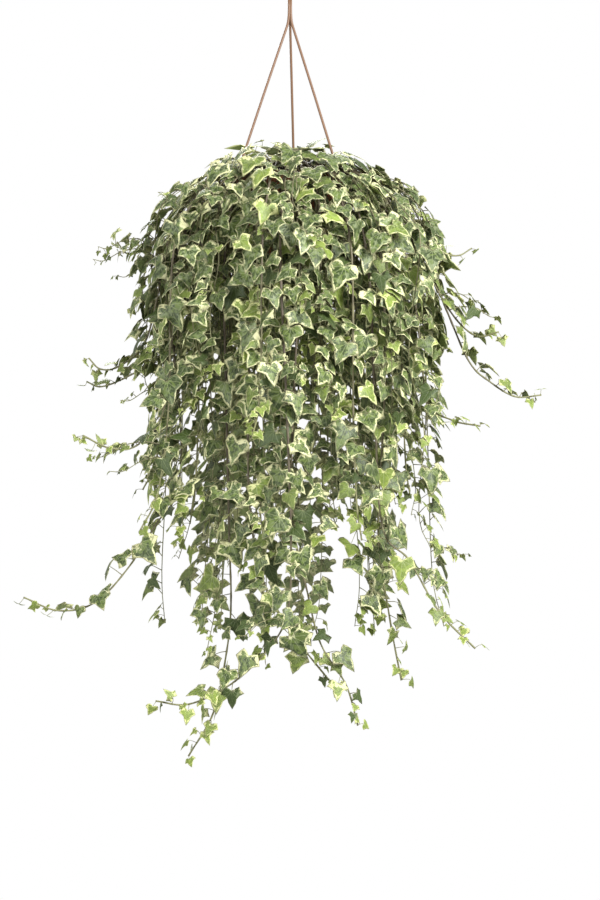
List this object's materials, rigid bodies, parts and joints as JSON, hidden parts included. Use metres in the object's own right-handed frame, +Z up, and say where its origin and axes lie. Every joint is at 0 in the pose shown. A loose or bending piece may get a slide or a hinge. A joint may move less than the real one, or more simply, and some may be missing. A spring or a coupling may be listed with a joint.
{
  "type": "potted variegated english ivy",
  "caption": "Hanging plastic pot of variegated English ivy: a dense mound of lobed leaves and long trailing stems, on a three-strand hanger with a hook.",
  "frame": {"origin": "top inside of the hook's bend, the point of the hanger that bears on what it hangs from", "axes": "+Z up; the front of the plant faces -Y; +X is to the right of someone looking at the front"},
  "size_m": [0.7427, 0.5031, 1.1077],
  "materials": {
    "hanger_plastic": "satin",
    "pot_plastic": "matte",
    "soil": "matte",
    "ivy": "satin"
  },
  "bodies": {
    "root": {"hanger": "hanger_plastic", "pot": "pot_plastic", "soil": "soil", "stem_left_low": "ivy", "stem_left_arc_low": "ivy", "stem_left_arc_high": "ivy", "stem_left_arc_mid": "ivy", "stem_left_top": "ivy", "stem_right_top": "ivy", "stem_right_arc_high": "ivy", "stem_right_arc_mid": "ivy", "stem_right_arc_low": "ivy", "stem_right_low": "ivy", "stem_right_long": "ivy", "stem_sweep_left": "ivy", "stem_drop_left": "ivy", "stem_drop_middle": "ivy", "stem_drop_inner": "ivy", "stem_outer_02": "ivy", "stem_outer_03": "ivy", "stem_outer_04": "ivy", "stem_outer_05": "ivy", "stem_outer_06": "ivy", "stem_outer_07": "ivy", "stem_outer_08": "ivy", "stem_outer_11": "ivy", "stem_outer_13": "ivy", "stem_outer_15": "ivy", "stem_middle_01": "ivy", "stem_middle_02": "ivy", "stem_middle_03": "ivy", "stem_middle_04": "ivy", "stem_middle_06": "ivy", "stem_middle_07": "ivy", "stem_middle_12": "ivy", "stem_middle_14": "ivy", "stem_middle_15": "ivy", "stem_middle_16": "ivy", "stem_inner_01": "ivy", "stem_inner_02": "ivy", "stem_inner_03": "ivy", "stem_inner_04": "ivy", "stem_inner_06": "ivy", "stem_inner_07": "ivy", "stem_inner_08": "ivy", "stem_tuft_1": "ivy", "stem_tuft_2": "ivy", "stem_tuft_3": "ivy", "stem_tuft_4": "ivy", "stem_tuft_5": "ivy"}
  },
  "joints": []
}
